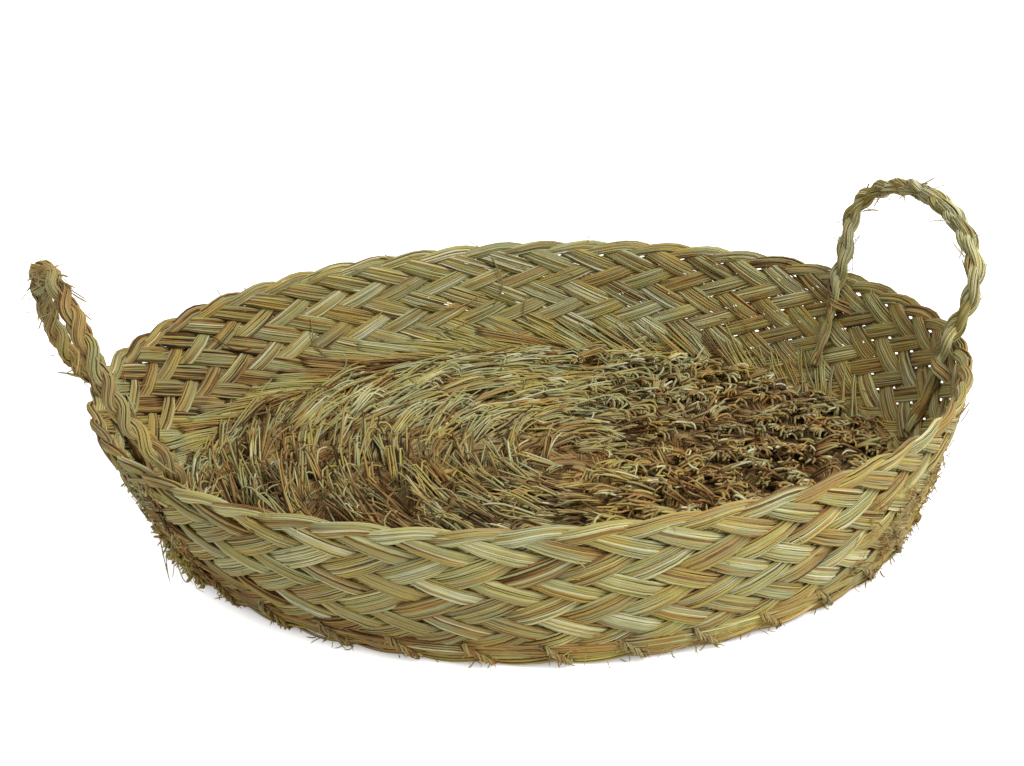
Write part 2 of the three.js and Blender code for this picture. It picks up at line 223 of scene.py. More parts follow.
def esparto(name, roughness, mellowed, mixed, footed=0.0):
    """Dried esparto grass: matt, waxy and a different colour on every straw."""
    material = bpy.data.materials.new(name)
    material.use_nodes = True
    tree = material.node_tree
    place = add_node(tree, "TexCoord").outputs["Object"]
    tone, warmth = (add_node(tree, "Attribute", attribute_name=number).outputs["Fac"]
                    for number in ("tone", "warmth"))
    patches, fields, ribs = (
        add_node(tree, "TexNoise", {"Vector": place, "Scale": 1 / size, "Detail": detail}).outputs[0]
        for size, detail in ((PATCH_SIZE, 2.0), (FIELD_SIZE, 1.0), (RIB_SIZE, 1.0)))
    aged = maths(tree, "ADD", tone, maths(tree, "MULTIPLY_ADD", patches, PATCH_DRIFT, -PATCH_DRIFT / 2))
    ramps = []
    for family in (SAGE, STRAW):
        ramp = add_node(tree, "ValToRGB", {"Fac": aged})
        stops = ramp.color_ramp.elements
        while len(stops) < len(GRASS_COLOURS):
            stops.new(0.5)
        for stop, colours in zip(stops, GRASS_COLOURS):
            stop.position = colours[0]
            stop.color = linear(colours[family])
        ramps.append(ramp.outputs["Color"])
    height = add_node(tree, "SeparateXYZ", {"Vector": place}).outputs["Z"]
    yellowed = add_node(tree, "MapRange", {
        "Value": height, "From Min": FOOT_ZONE[0], "From Max": FOOT_ZONE[1],
        "To Min": footed, "To Max": 0.0})
    sunned = maths(tree, "MULTIPLY_ADD", fields, FIELD_DRIFT, mellowed - FIELD_DRIFT / 2)
    sunned = maths(tree, "ADD", sunned, yellowed.outputs[0])
    mellow = maths(tree, "MULTIPLY_ADD", warmth, mixed, sunned, clamped=True)
    grass = add_node(tree, "Mix", {0: mellow, 6: ramps[0], 7: ramps[1]}, data_type="RGBA")
    bump = add_node(tree, "Bump",
                    {"Height": ribs, "Strength": RIB_STRENGTH, "Distance": RIB_HEIGHT})
    feed(tree, tree.nodes["Principled BSDF"], {
        "Base Color": grass.outputs[2], "Normal": bump.outputs["Normal"], "Roughness": roughness,
        "Specular IOR Level": WAX})
    return material


wall_grass = esparto("dried esparto of the wall", roughness=0.68, mellowed=0.0, mixed=1.0, footed=0.5)
floor_grass = esparto("dried esparto of the floor", roughness=0.75, mellowed=-0.05, mixed=1.0)
rope_grass = esparto("dried esparto of the ropes", roughness=0.72, mellowed=0.3, mixed=0.4)
print("materials:", [m.name for m in bpy.data.materials])

# %% [markdown]
# ## A straw
# A straw is a thin tube along a line. Blender's curve with a round bevel makes thousands of them at
# once: one poly spline for each straw, with a radius at every point. The curve becomes a mesh, its
# pointed ends are welded shut, and every straw writes its tone on its own points. A map with one
# small strip for each straw is added, so that the colours can be baked.

# %% Write the straw maker
STRAW_SIDES = 4
POINTED = 0.02 * MM
LONG_STRAW, STRIPS_IN_LINE = 40, 12
END_MARGIN, SIDE_MARGIN = 0.03, 0.12
grain = np.random.default_rng(11)
draw = grain.uniform
near = grain.normal


def jitter(spread, count=None):
    """A random amount round nought, or several of them."""
    return grain.normal(0, spread, count)


def some_phase():
    """A random place in a wave."""
    return draw(0, 6.3)


class Straws(list):
    """The straws of one piece. Each is a line in mm, a radius in mm and a tone, even or place by place."""

    def add(self, line, radius, tone):
        """Adds one straw."""
        self.append((line, radius, tone))

    def add_fibre(self, line, radii, tones, low=-math.inf):
        """Adds an even fibre that is nowhere lower than so many mm; two ranges give radius and tone."""
        self.add(above_ground(line, low), draw(*radii), draw(*tones))


def above_ground(line, low):
    """A line that is nowhere lower than so many mm."""
    return np.maximum(line, [-math.inf, -math.inf, low])


def in_runs(line, run, shortest, spare):
    """A long line cut into straws of one run; the first is shorter, and the last takes what is left."""
    cuts = [0, *range(grain.integers(shortest, run), len(line) - spare, run), len(line) - 1]
    return [line[start:end + 1] for start, end in zip(cuts, cuts[1:])]


def straw_piece(name, straws, material):
    """One piece made of many straws."""
    curve = bpy.data.curves.new(name, "CURVE")
    curve.dimensions = "3D"
    curve.bevel_depth = 1.0
    curve.bevel_resolution = 0
    for line, radius, _ in straws:
        spline = curve.splines.new("POLY")
        spline.points.add(len(line) - 1)
        spline.points.foreach_set("co", np.column_stack([line * MM, np.ones(len(line))]).ravel())
        pointed = np.full(len(line), radius * MM)
        pointed[[0, -1]] = POINTED
        spline.points.foreach_set("radius", pointed)
    carrier = add_object(name + "_curve", curve)
    mesh = bpy.data.meshes.new_from_object(carrier.evaluated_get(bpy.context.evaluated_depsgraph_get()))
    bpy.data.objects.remove(carrier)
    bpy.data.curves.remove(curve)
    mesh.name = name
    places = np.empty(3 * len(mesh.vertices), np.float32)
    mesh.vertices.foreach_get("co", places)
    places[2::3] = np.maximum(places[2::3], 0)
    mesh.vertices.foreach_set("co", places)

    counts = np.array([len(line) for line, _, _ in straws])
    assert len(mesh.vertices) == STRAW_SIDES * counts.sum()
    tones = np.concatenate([np.broadcast_to(tone, len(line)) for line, _, tone in straws])
    warmths = np.repeat(grain.random(len(counts)), STRAW_SIDES * counts)
    for kind, values in (("tone", np.repeat(tones, STRAW_SIDES)), ("warmth", warmths)):
        mesh.attributes.new(kind, "FLOAT", "POINT").data.foreach_set("value", values.astype(np.float32))
    lay_out_strips(mesh, counts)
    weld_tips(mesh, counts)
    mesh.shade_smooth()
    mesh.materials.clear()
    mesh.materials.append(material)
    piece = add_object(name, mesh)
    print(name, len(counts), "straws", len(mesh.polygons), "faces")
    return piece


def lay_out_strips(mesh, counts):
    """A strip of the map for each straw: along it and round it, in rows and columns."""
    size = counts * STRAW_SIDES
    straw = np.repeat(np.arange(len(counts)), size)
    step = np.arange(len(straw)) - np.repeat(np.cumsum(size) - size, size)
    along = (step // STRAW_SIDES) / (counts[straw] - 1)
    columns = max(1, round(math.sqrt(len(counts) / STRIPS_IN_LINE))) if counts.max() < LONG_STRAW else 1
    rows = math.ceil(len(counts) / columns)
    corner = np.empty(len(mesh.loops), np.int32)
    mesh.loops.foreach_get("vertex_index", corner)
    side = (step % STRAW_SIDES)[corner].reshape(-1, 4)
    wraps = (side.max(1) - side.min(1)) > 1
    side = np.where(wraps[:, None] & (side == 0), STRAW_SIDES, side).ravel()
    of = straw[corner]
    u = (of % columns + END_MARGIN + (1 - 2 * END_MARGIN) * along[corner]) / columns
    v = (of // columns + SIDE_MARGIN + (1 - 2 * SIDE_MARGIN) * side / STRAW_SIDES) / rows
    strips = mesh.uv_layers.new(name="OFBake")
    strips.uv.foreach_set("vector", np.column_stack([u, v]).astype(np.float32).ravel())


def weld_tips(mesh, counts):
    """Closes both pointed ends of every straw."""
    bm = bmesh.new()
    bm.from_mesh(mesh)
    bm.verts.ensure_lookup_table()
    weld = {}
    ends = np.cumsum(counts * STRAW_SIDES)
    for first, end in zip(ends - counts * STRAW_SIDES, ends):
        for ring in (first, end - STRAW_SIDES):
            for corner in range(1, STRAW_SIDES):
                weld[bm.verts[ring + corner]] = bm.verts[ring]
    bmesh.ops.weld_verts(bm, targetmap=weld)
    bm.to_mesh(mesh)
    bm.free()


# %% [markdown]
# ## The wall's plait
# The wall is one wide plait. Its strands run slantwise, and each passes over two others and under
# two, which the eye reads as a herringbone. At the rim a rising strand folds over the edge and comes
# down the other side; at the foot it lies down along the edge. The lattice is counted in columns
# round the wall, from the right end by way of the back, and in levels up it. So a strand is a simple
# line on that lattice, and the wall's own oval bends it into place.

# %% Lay out the wall
RIM_LENGTH, RIM_WIDTH = 560, 484
FOOT_LENGTH, FOOT_WIDTH = 480, 462
WALL_FOOT, WALL_TOP = 3.8, 84
WALL_BELLY = 3
COLUMNS, LEVELS = 104, 13
COLUMN_MM, LEVEL_MM = 15.6, 6.6
UP = np.array([0.0, 0.0, 1.0])
TURN = 2 * np.pi


def wall_place(column, level, offset):
    """A place on the wall in mm: columns go round it, levels up it, and offset outwards in mm."""
    angle = TURN * np.asarray(column) / COLUMNS
    height = np.asarray(level) / LEVELS
    half_length = (FOOT_LENGTH + (RIM_LENGTH - FOOT_LENGTH) * height) / 2
    half_width = (FOOT_WIDTH + (RIM_WIDTH - FOOT_WIDTH) * height) / 2
    out_x = half_width * np.cos(angle)
    out_y = half_length * np.sin(angle)
    size = np.hypot(out_x, out_y)
    reach = offset + WALL_BELLY * np.sin(np.pi * np.clip(height, 0, 1))
    x = half_length * np.cos(angle) + out_x / size * reach
    y = half_width * np.sin(angle) + out_y / size * reach
    z = WALL_FOOT + (WALL_TOP - WALL_FOOT) * height
    return np.stack(np.broadcast_arrays(x, y, z), -1)


def wall_level(z):
    """The level on the wall at a height in mm."""
    return (z - WALL_FOOT) / (WALL_TOP - WALL_FOOT) * LEVELS


def unit(v):
    """Vectors of length one."""
    return v / np.linalg.norm(v, axis=-1, keepdims=True)


def outwards(place):
    """The level way from the middle of the basket to a place."""
    return unit(place * [1, 1, 0])


def way_off(place, along, up, out):
    """A way from a place: so much along the wall, up and outwards."""
    return unit(np.cross(UP, outwards(place)) * along + UP * up + outwards(place) * out)


def ringed(a, b, ring, angle, flat=1):
    """Steps off a line to a ring round it, along the two directions a and b."""
    return a * (ring * np.cos(angle))[:, None] + b * (ring * flat * np.sin(angle))[:, None]


def ease(low, high, x):
    """Goes smoothly from 0 at low to 1 at high."""
    share = np.clip((x - low) / (high - low), 0, 1)
    return share * share * (3 - 2 * share)


def soft_min(a, b, reach):
    """The smaller of two lines, with the corner rounded off over a reach."""
    share = np.clip(0.5 + 0.5 * (b - a) / reach, 0, 1)
    return b * (1 - share) + a * share - reach * share * (1 - share)


def mottled(along, every, usual, spread, dark_share, dark):
    """Tones along a straw that drift from place to place, with some dark stretches."""
    marks = np.arange(along[0] - every, along[-1] + 2 * every, every) + draw(0, every)
    tones = np.interp(marks, along, np.broadcast_to(usual, len(along)))
    tones = tones + jitter(spread, len(marks))
    darkened = grain.random(len(marks)) < dark_share
    tones[darkened] = draw(*dark, darkened.sum())
    return np.interp(along, marks, tones)


# %% Plait the wall
STRANDS = COLUMNS // 2
STRAND_HALF_WIDTH = 5.85
STRAND_HALF_THICKNESS = 1.25
STRAND_STEP = 0.5
OVER = 2.1
CRISPNESS = 1.7
STRAW_RADIUS = 0.60
FOLD, FOLD_WIDTH = 14, 0.95
RIM_LEVEL, RIM_ZONE = 13.0, 2.1
FOOT_LEVEL, FOOT_ROUNDING = 0.85, 1.6
FOOT_RUN, FOOT_TURN = 3, 1.4
LOOSENESS = 0.09
WANDER, WANDER_PERIODS = (0.08, 0.32), (11.0, 4.7)
WALL_PIECES = 6
# Stretches of the wall darkened as painted shade where the wall lies in shadow: column, spread in columns,
# how much darker.
PAINTED_SHADE_PLACES = [(57, 5, 0.14), (44, 6, 0.14), (37, 6, 0.16), (8.5, 5, 0.11), (101, 5, 0.09)]

travel = np.arange(-FOOT_RUN, 2 * FOLD + FOOT_RUN + STRAND_STEP / 2, STRAND_STEP)
level = soft_min(travel, 2 * FOLD - travel, 4 * (FOLD - RIM_LEVEL))
level = -soft_min(-level, np.full_like(level, -FOOT_LEVEL), FOOT_ROUNDING)
wave = np.tanh(CRISPNESS * np.cos(np.pi * (level - 1.5) / 2)) / math.tanh(CRISPNESS)
side = -np.tanh((travel - FOLD) / FOLD_WIDTH)
at_rim = np.exp(-((travel - FOLD) / RIM_ZONE) ** 2)
offset = OVER * side * wave * (1 + 0.7 * at_rim)
offset = offset + (-1.25 * OVER - offset) * ease(FOOT_TURN, -0.4, travel)
offset = offset + (1.35 * OVER - offset) * ease(2 * FOLD - FOOT_TURN, 2 * FOLD + 0.4, travel)
strand_level = level + 0.2 * np.exp(-((travel - FOLD) / 1.1) ** 2)
half_width = STRAND_HALF_WIDTH * (0.985 + 0.085 * side) - 0.5 * (1 - np.abs(wave)) - 1.7 * at_rim
half_thickness = STRAND_HALF_THICKNESS + 0.8 * at_rim
slope = np.gradient(strand_level, travel)
length = np.hypot(COLUMN_MM, slope * LEVEL_MM)
across_column = -slope * LEVEL_MM / length / COLUMN_MM
across_level = COLUMN_MM / length / LEVEL_MM

UPPER_LANES = np.linspace(-0.93, 0.93, 13)
LOWER_LANES = np.linspace(-0.88, 0.88, 12)
section = [(a, 1) for a in UPPER_LANES] + [(a, -1) for a in LOWER_LANES] + [(-1, 0), (1, 0)]


def add_strand(straws, strand):
    """Adds the straws of one strand of the wall."""
    strand_tone = mottled(travel, every=4.0, usual=near(0.715, 0.06), spread=0.09, dark_share=0.05,
                          dark=(0.34, 0.50))
    width = draw(0.93, 1.05)
    lift = jitter(0.12)
    column = 2 * strand + 1 + travel
    loose = 0.5 + 0.5 * np.cos(4 * np.pi * column / COLUMNS)
    width = width * (1 - LOOSENESS * draw(0, 1.5) * loose)
    for a, face in section:
        wander = sum(draw(*WANDER) * np.sin(TURN * travel / period + some_phase())
                     for period in WANDER_PERIODS)
        sideways = a * half_width * width + wander
        depth = face * math.sqrt(max(0, 1 - abs(a) ** 2.4)) * half_thickness + jitter(0.24)
        depth = depth + 0.18 * np.sin(TURN * travel / 6.1 + some_phase()) + lift
        line = wall_place(column + sideways * across_column, strand_level + sideways * across_level,
                          offset + depth)
        stoutness = draw(0.66, 1.12) if face > 0 else draw(1.0, 1.2)
        # The two edge straws of each strand are darker: painted shade in the crevices between strands.
        own_tone = strand_tone + jitter(0.13) - 0.12 * (face == 0)
        tone = mottled(travel, every=5.0, usual=own_tone, spread=0.13, dark_share=0.16, dark=(0.06, 0.42))
        tone = tone - 0.12 * ease(3.2, 0.8, level)
        # Painted shade: the stretches of the wall that lie in shadow are darkened.
        for place, spread, painted_shade in PAINTED_SHADE_PLACES:
            away = (column - place + COLUMNS / 2) % COLUMNS - COLUMNS / 2
            tone = tone - painted_shade * np.exp(-(away / spread) ** 2)
        straws.add(line, STRAW_RADIUS * stoutness, np.clip(tone, 0.02, 0.98))


for number in range(WALL_PIECES):
    straws = Straws()
    for strand in range(number * STRANDS // WALL_PIECES, (number + 1) * STRANDS // WALL_PIECES):
        add_strand(straws, strand)
    piece = straw_piece(f"wall_plait_straws_{number + 1}", straws, wall_grass)
    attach(piece, "basket")
    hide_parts("wall_plait")

# %% [markdown]
# ## The floor's plait
# The floor is a narrow plait of five strands, coiled flat from the wall to the middle and sewn edge
# to edge. A strand swings from one edge of the strip to the other and back, over two and under two,
# so it is a wave along the coil. The coil is a spiral of ovals, and a table of its length turns
# millimetres along the strip into turns. Rings of straw close the heart of the spiral.

# %% Lay out the coil
FLOOR_LENGTH, FLOOR_WIDTH = 464.8, 446.8
COIL_PITCH = 29.8
COIL_GROOVE = 2.2
FLOOR_OVERLAP = 3.5
COIL_FIRST, COIL_LAST = 0.25, 7.99
COIL_MEETS = (1.25, 1.45)
COIL_POINTS = 1600
FLOOR_MIDDLE = 3.5


def floor_place(turn, inset, z):
    """A place on the floor in mm: turns of the coil, in from the floor's edge, above the ground."""
    angle = np.pi + TURN * (np.asarray(turn) - COIL_LAST)
    x = (FLOOR_LENGTH / 2 - inset) * np.cos(angle)
    y = (FLOOR_WIDTH / 2 - inset) * np.sin(angle)
    return np.stack(np.broadcast_arrays(x, y, z), -1)


coil_turn = np.linspace(COIL_FIRST, COIL_LAST, COIL_POINTS)
coil_outer = COIL_PITCH * (coil_turn - 1) + FLOOR_OVERLAP
coil_outer = coil_outer * ease(*COIL_MEETS, coil_turn) - FLOOR_OVERLAP
coil_inner = np.minimum(COIL_PITCH * coil_turn - COIL_GROOVE, FLOOR_WIDTH / 2 + 4)
coil_inset = (coil_outer + coil_inner) / 2
coil_half = (coil_inner - coil_outer) / 2
coil_steps = np.linalg.norm(np.diff(floor_place(coil_turn, coil_inset, 0), axis=0), axis=1)
coil_mm = np.concatenate([[0], np.cumsum(coil_steps)])
print("floor plait:", round(coil_mm[-1]), "mm long")

# %% Plait the floor
FLOOR_STRANDS = 5
FLOOR_LANES = np.linspace(-1, 1, 6)
FLOOR_STRAND_HALF = 4.0
FLOOR_OVER = 1.25
CROSSING_MM, CROSSING_STEP = 9, 0.75
SWING_ROUNDING = 0.95
STRAW_RUN, SHORTEST_RUN = 36, 8
HEART_PLACE = np.array([-7, 0, 0])
HEART_RINGS = np.arange(1.2, 19, 1.3)
HEART_LAYERS = (FLOOR_MIDDLE - 1, FLOOR_MIDDLE + 0.6)
HEART_ARC = np.linspace(0, 5.4, 12)
FLOOR_PIECES = 2

crossing = np.arange(1, coil_mm[-1] / CROSSING_MM - 1, CROSSING_STEP)
along = crossing * CROSSING_MM
straws = Straws()
for strand in range(FLOOR_STRANDS):
    beat = TURN * (crossing + 2 * strand) / (2 * FLOOR_STRANDS)
    swing = np.arcsin(SWING_ROUNDING * np.sin(beat)) / math.asin(SWING_ROUNDING)
    rising = np.tanh(3 * np.cos(beat))
    crossing_level = FLOOR_STRANDS / 2 * (1 + swing)
    over = np.tanh(CRISPNESS * rising * np.cos(np.pi * (crossing_level - 1.5) / 2))
    across = swing * (np.interp(along, coil_mm, coil_half) - FLOOR_STRAND_HALF / 2)
    heading = np.arctan2(np.gradient(across), np.gradient(along))
    for lane in FLOOR_LANES:
        sideways = lane * FLOOR_STRAND_HALF + 0.3 * np.sin(along / 23 + some_phase())
        line_along = along - sideways * np.sin(heading)
        inset = np.interp(line_along, coil_mm, coil_inset) + across + sideways * np.cos(heading)
        z = FLOOR_MIDDLE + FLOOR_OVER * over + jitter(0.12)
        line = floor_place(np.interp(line_along, coil_mm, coil_turn), inset, z)
        for straw in in_runs(line, STRAW_RUN, SHORTEST_RUN, spare=SHORTEST_RUN):
            radius = draw(0.72, 0.95)
            # Darker towards the right: painted shade among the dense loose ends there.
            tone = near(0.28, 0.10) - 0.10 * ease(40, 180, straw[:, 0])
            straws.add(straw, radius, np.clip(tone, 0.03, 0.9))
for height in HEART_LAYERS:
    for ring in HEART_RINGS:
        angle = some_phase() + HEART_ARC
        wobble = ring + 0.5 * np.sin(3 * angle + some_phase())
        arc = np.column_stack([wobble * np.cos(angle), wobble * np.sin(angle),
                               height + 0.5 * np.sin(2 * angle)])
        straws.add(HEART_PLACE + arc, draw(0.75, 0.95), np.clip(near(0.3, 0.1), 0.05, 0.6))
for number in range(FLOOR_PIECES):
    piece = straw_piece(f"floor_plait_straws_{number + 1}", straws[number::FLOOR_PIECES], floor_grass)
    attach(piece, "basket")
    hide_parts("floor_plait", "floor_sewing_cord")

# %% [markdown]
# ## The loose ends on the floor
# The rough side of the plait is up: thousands of straw ends stand out of it in tufts, combed inwards
# and clockwise, as thatch lies on a roof. On the left and in front they are long and green and hook
# over at the tip, at the back they lie flat, and on the right they are short, brown and curly and lie
# closer. A straw here is a line that starts in the plait and follows a heading and a climb that both
# change along it, so a few numbers for each tuft give all of these. Broken bits lie between them.

# %% Comb the loose ends
THATCH_TUFTS = 860
RIGHT_TUFTS = 620
BROKEN_BITS = 900
TUFT_STRAWS = (4, 10)
COIL_END = 20
WHORL = (20, 5)
THATCH_SHARES = np.array([0, 0.30, 0.54, 0.70, 0.80, 0.88, 0.94, 1.0])
BIT_POINTS = [0, 1, 3, 5, 7]
THATCH_LOW = 4.8
FLOOR_ROOM = (238, 229)
THATCH_PIECES = 3


def on_plait(along, swing, z):
    """A place so many mm along the floor's plait; swing is -1 at its outer edge and 1 at its inner."""
    turn, middle, half = (np.interp(along, coil_mm, table) for table in (coil_turn, coil_inset, coil_half))
    return floor_place(turn, middle + half * swing, z)


def loose_straw(root, heading, climb, length, arch, hook, curl):
    """A straw from its root: it climbs, arches over, hooks at the tip (down, sideways) and curls."""
    middle = (THATCH_SHARES[1:] + THATCH_SHARES[:-1]) / 2
    at_tip = ease(0.60, 0.97, middle)
    pitch = climb - arch * middle ** 2 - hook[0] * at_tip
    way = heading + curl * middle ** 1.4 + hook[1] * at_tip
    moves = np.column_stack([np.cos(pitch) * np.cos(way), np.cos(pitch) * np.sin(way), np.sin(pitch)])
    moves = moves * (np.diff(THATCH_SHARES) * length)[:, None]
    line = root + np.concatenate([[[0, 0, 0]], np.cumsum(moves, axis=0)])
    ground = THATCH_LOW + 1.2 * math.sin(7 * root[0] + 3 * root[1]) + 0.06 * np.arange(1, len(line))
    line[1:, 2] = np.maximum(line[1:, 2], ground)
    spread = np.hypot(line[:, 0] / (FLOOR_ROOM[0] + 0.4 * line[:, 2]),
                      line[:, 1] / (FLOOR_ROOM[1] + 0.1 * line[:, 2]))
    line[:, :2] /= np.maximum(1, spread)[:, None]
    return line


straws = Straws()
for tuft in range(THATCH_TUFTS + RIGHT_TUFTS):
    root = on_plait(draw(COIL_END, coil_mm[-1]), 2 * grain.beta(1.2, 1.9) - 1, FLOOR_MIDDLE)
    x, y = root[:2]
    if tuft >= THATCH_TUFTS and x < jitter(30):
        continue
    left = ease(90, -110, x + 0.35 * y)
    back = ease(30, 150, y)
    right = ease(20, 120, x - 0.3 * y)
    front = ease(60, -120, y)
    heading = math.atan2(WHORL[0] - x, y - WHORL[1]) - 0.02 - 0.25 * back * (1 - left) - 0.1 * right
    heading = heading + jitter(0.20 + 0.75 * right)
    climb = 0.12 + 0.30 * left * (1 - 0.85 * back) + 0.12 * front + 0.34 * right + jitter(0.08)
    length = (34 + 12 * left + 8 * back - 11 * right) * draw(0.8, 1.2)
    hooked = grain.random() < 0.80 - 0.3 * back
    tone = 0.56 - 0.03 * left + 0.16 * back - 0.25 * right + jitter(0.10)
    for _ in range(grain.integers(*TUFT_STRAWS)):
        beside = jitter(2.4)
        start = root + [-math.sin(heading) * beside, math.cos(heading) * beside, draw(0, 2)]
        own_climb = max(0.03, climb + jitter(0.05))
        bend = draw(1.0, 2.6) if hooked and grain.random() < 0.75 else draw(0, 0.4)
        lay = near(-0.5, 0.6)
        line = loose_straw(start, heading=heading + jitter(0.08), climb=own_climb,
                           length=length * draw(0.8, 1.1), arch=own_climb * draw(0.2, 1.0),
                           hook=(bend * math.cos(lay), bend * math.sin(lay)),
                           curl=jitter(0.09 + 0.5 * right))
        own_tone = tone + jitter(0.13)
        if grain.random() < 0.26 - 0.12 * back:
            own_tone = draw(0.04, 0.34)
        elif grain.random() < 0.08:
            own_tone = draw(0.80, 1.0)
        radius = (1 + 0.3 * right) * draw(0.62, 0.95) * (1 - 0.25 * THATCH_SHARES ** 2)
        shade = 0.22 * (1 - THATCH_SHARES) ** 2 + (0.05 - 0.22 * right) * THATCH_SHARES ** 3
        straws.add(line, radius, np.clip(own_tone - shade, 0.02, 1.0))

# %% Fill in with short broken bits
for _ in range(BROKEN_BITS):
    root = on_plait(draw(COIL_END, coil_mm[-1]), draw(-1.1, 1.1), draw(3, 7))
    line = loose_straw(root, heading=some_phase(), climb=draw(0.05, 0.6), length=draw(9, 20),
                       arch=draw(0.2, 1.2), hook=draw(0, 1.4, 2), curl=jitter(0.7))
    straws.add_fibre(line[BIT_POINTS], radii=(0.35, 0.65), tones=(0.04, 0.42))
for number in range(THATCH_PIECES):
    piece = straw_piece(f"floor_loose_ends_{number + 1}", straws[number::THATCH_PIECES], floor_grass)
    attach(piece, "basket")
    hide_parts("floor_plait")

# %% [markdown]
# ## The straws along the inner foot
# Where the wall meets the floor, the ends of the wall's strands are laid down along the corner. From
# the back to the left end they are long, pale and nearly level; from the right end to the back they
# come down more steeply. They leave the wall's own lattice low down and lean in over the floor's edge,
# and brown fibres lie between them.

# %% Lay the inner foot
FOOT_BUNDLES, FOOT_BUNDLE_STRAWS = 46, 8
FOOT_RANGE, FOOT_BUNDLE_LOW = (22, 56), 3.4
STEEP_BUNDLES, STEEP_STRAWS = 34, 6
STEEP_RANGE = (0.5, 25)
FOOT_FIBRES = 170
FIBRE_RANGE, FIBRE_LOW = (6, 34), 5.5

straws = Straws()
share = np.linspace(0, 1, 8)
for bundle in range(FOOT_BUNDLES):
    column = np.interp(bundle + draw(-0.3, 0.3), [0, FOOT_BUNDLES - 1], FOOT_RANGE)
    top = draw(1.6, 4.0)
    end = draw(0.3, 1.0)
    run = draw(3.6, 6.0)
    lean_in = draw(2, 9)
    bundle_tone = near(0.70, 0.10) if grain.random() < 0.8 else draw(0.2, 0.45)
    for straw in range(FOOT_BUNDLE_STRAWS):
        lane = (straw - (FOOT_BUNDLE_STRAWS - 1) / 2) / FOOT_BUNDLE_STRAWS
        own_run = run * draw(0.75, 1.08)
        rise = (top + 1.4 * lane) * (1 - share) + (end + 0.9 * lane) * share
        offset = -2.6 - 2.8 * ease(0, 0.2, share) - lean_in * share ** 2 - draw(0, 0.8)
        line = wall_place(column - own_run * share + 0.1 * lane, rise, offset)
        radius = draw(0.5, 0.78) * (1 - 0.3 * share ** 2)
        tone = bundle_tone + jitter(0.10) - 0.12 * share ** 2
        straws.add(above_ground(line, FOOT_BUNDLE_LOW), radius, np.clip(tone, 0.03, 1.0))
share = np.linspace(0, 1, 6)
for bundle in range(STEEP_BUNDLES):
    column = np.interp(bundle + draw(-0.4, 0.4), [0, STEEP_BUNDLES - 1], STEEP_RANGE)
    at_end = ease(10, 5, column)
    drift = -2.0 - 2.8 * ease(3, 13, column) - 0.6 * at_end + jitter(0.4)
    top = draw(3.2, 5.4) + 1.2 * at_end
    lean_in = draw(3, 12) * (1 - 0.75 * at_end)
    is_pale = grain.random() < 0.85
    bundle_tone = near(0.66 - 0.06 * at_end, 0.10) if is_pale else draw(0.2, 0.4)
    for straw in range(round(STEEP_STRAWS - 2 * at_end)):
        lane = straw - (STEEP_STRAWS - 1) / 2
        own_column = column + 0.07 * lane + (drift + jitter(0.2)) * share
        rise = (top + 0.14 * lane + jitter(0.5)) * (1 - share) ** 1.2 + 0.1 * share
        offset = 0.5 - 5.0 * ease(0, 0.4, share) - (lean_in + jitter(1.5)) * share ** 2
        radius = (draw(0.5, 0.72) - 0.1 * at_end) * (1 - 0.25 * share ** 3)
        tone = bundle_tone + jitter(0.11) - 0.1 * share
        straws.add(wall_place(own_column, rise, offset), radius, np.clip(tone, 0.03, 1.0))
for _ in range(FOOT_FIBRES):
    column = draw(*FIBRE_RANGE)
    inset = draw(5, 16)
    height = draw(0.2, 0.9) + jitter(0.2) * share
    line = wall_place(column + draw(1.5, 4) * share, height, -inset - jitter(3) * share)
    straws.add_fibre(line, radii=(0.35, 0.6), tones=(0.10, 0.32), low=FIBRE_LOW)
piece = straw_piece("inner_foot_straws", straws, wall_grass)
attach(piece, "basket")

# %% [markdown]
# ## The rope handles
# Each handle is one rope, braided from three bundles of straws. Its two tails run down the inside of
# the wall, and between them it stands up as a loop. The solids cut it at the hinge line, but the rope
# has no cut, so it is built in one run from tail to tail. Its centre line comes first, then a frame at
# each point of it (along, across, over), then three strands that swing across and over, and a ring of
# straws in each strand.

# %% Lay out the ropes
# Lengths in mm; middle and lean in degrees; bows are how far each leg stands out, and where.
ROPES = [
    {"side": "right", "middle": -7.5, "span": 148, "rise": 79, "lean": 14, "swell": 6, "crown": 44,
     "bows": (4, 1), "bow_place": 0.16, "period": 64, "swing": 2.7, "lift": 2.2, "ring": 3.15,
     "tones": (0.93, 0.86, 0.62)},
    {"side": "left", "middle": 180, "span": 132, "rise": 104, "lean": 23, "swell": -10, "crown": 34,
     "bows": (10, 8), "bow_place": 1 / 3, "period": 52, "swing": 3.4, "lift": 2.5, "ring": 2.95,
     "tones": (0.52, 0.46, 0.36)},
]
ROPE_STEP, ARCH_STEP = 2.8, 2
ROPE_SMOOTHING = 6
LEG_BELOW = 2.2
TAIL_TOP, TAIL_END = 80, 25
TAIL_OFFSET, TAIL_CLOSER, TAIL_NEARER = 10.4, 3.5, 0.004
TAIL_DEPTHS = np.linspace(0, 1, 20)


def bezier(points, count=24):
    """Places along a cubic curve, without its last point."""
    t = np.linspace(0, 1, count, endpoint=False)[:, None]
    a, b, c, d = np.array(points, float)
    return (1 - t) ** 3 * a + 3 * t * (1 - t) ** 2 * b + 3 * t ** 2 * (1 - t) * c + t ** 3 * d


def spaced(line, step):
    """The same line with points at an even spacing."""
    reach = np.concatenate([[0], np.cumsum(np.linalg.norm(np.diff(line, axis=0), axis=1))])
    marks = np.linspace(0, reach[-1], max(2, round(reach[-1] / step)))
    return np.column_stack([np.interp(marks, reach, line[:, k]) for k in range(3)])


def smoothed(line, rounds):
    """A line with its corners worn off; its ends stay."""
    for _ in range(rounds):
        line = line.copy()
        line[1:-1] = (line[:-2] + 2 * line[1:-1] + line[2:]) / 4
    return line


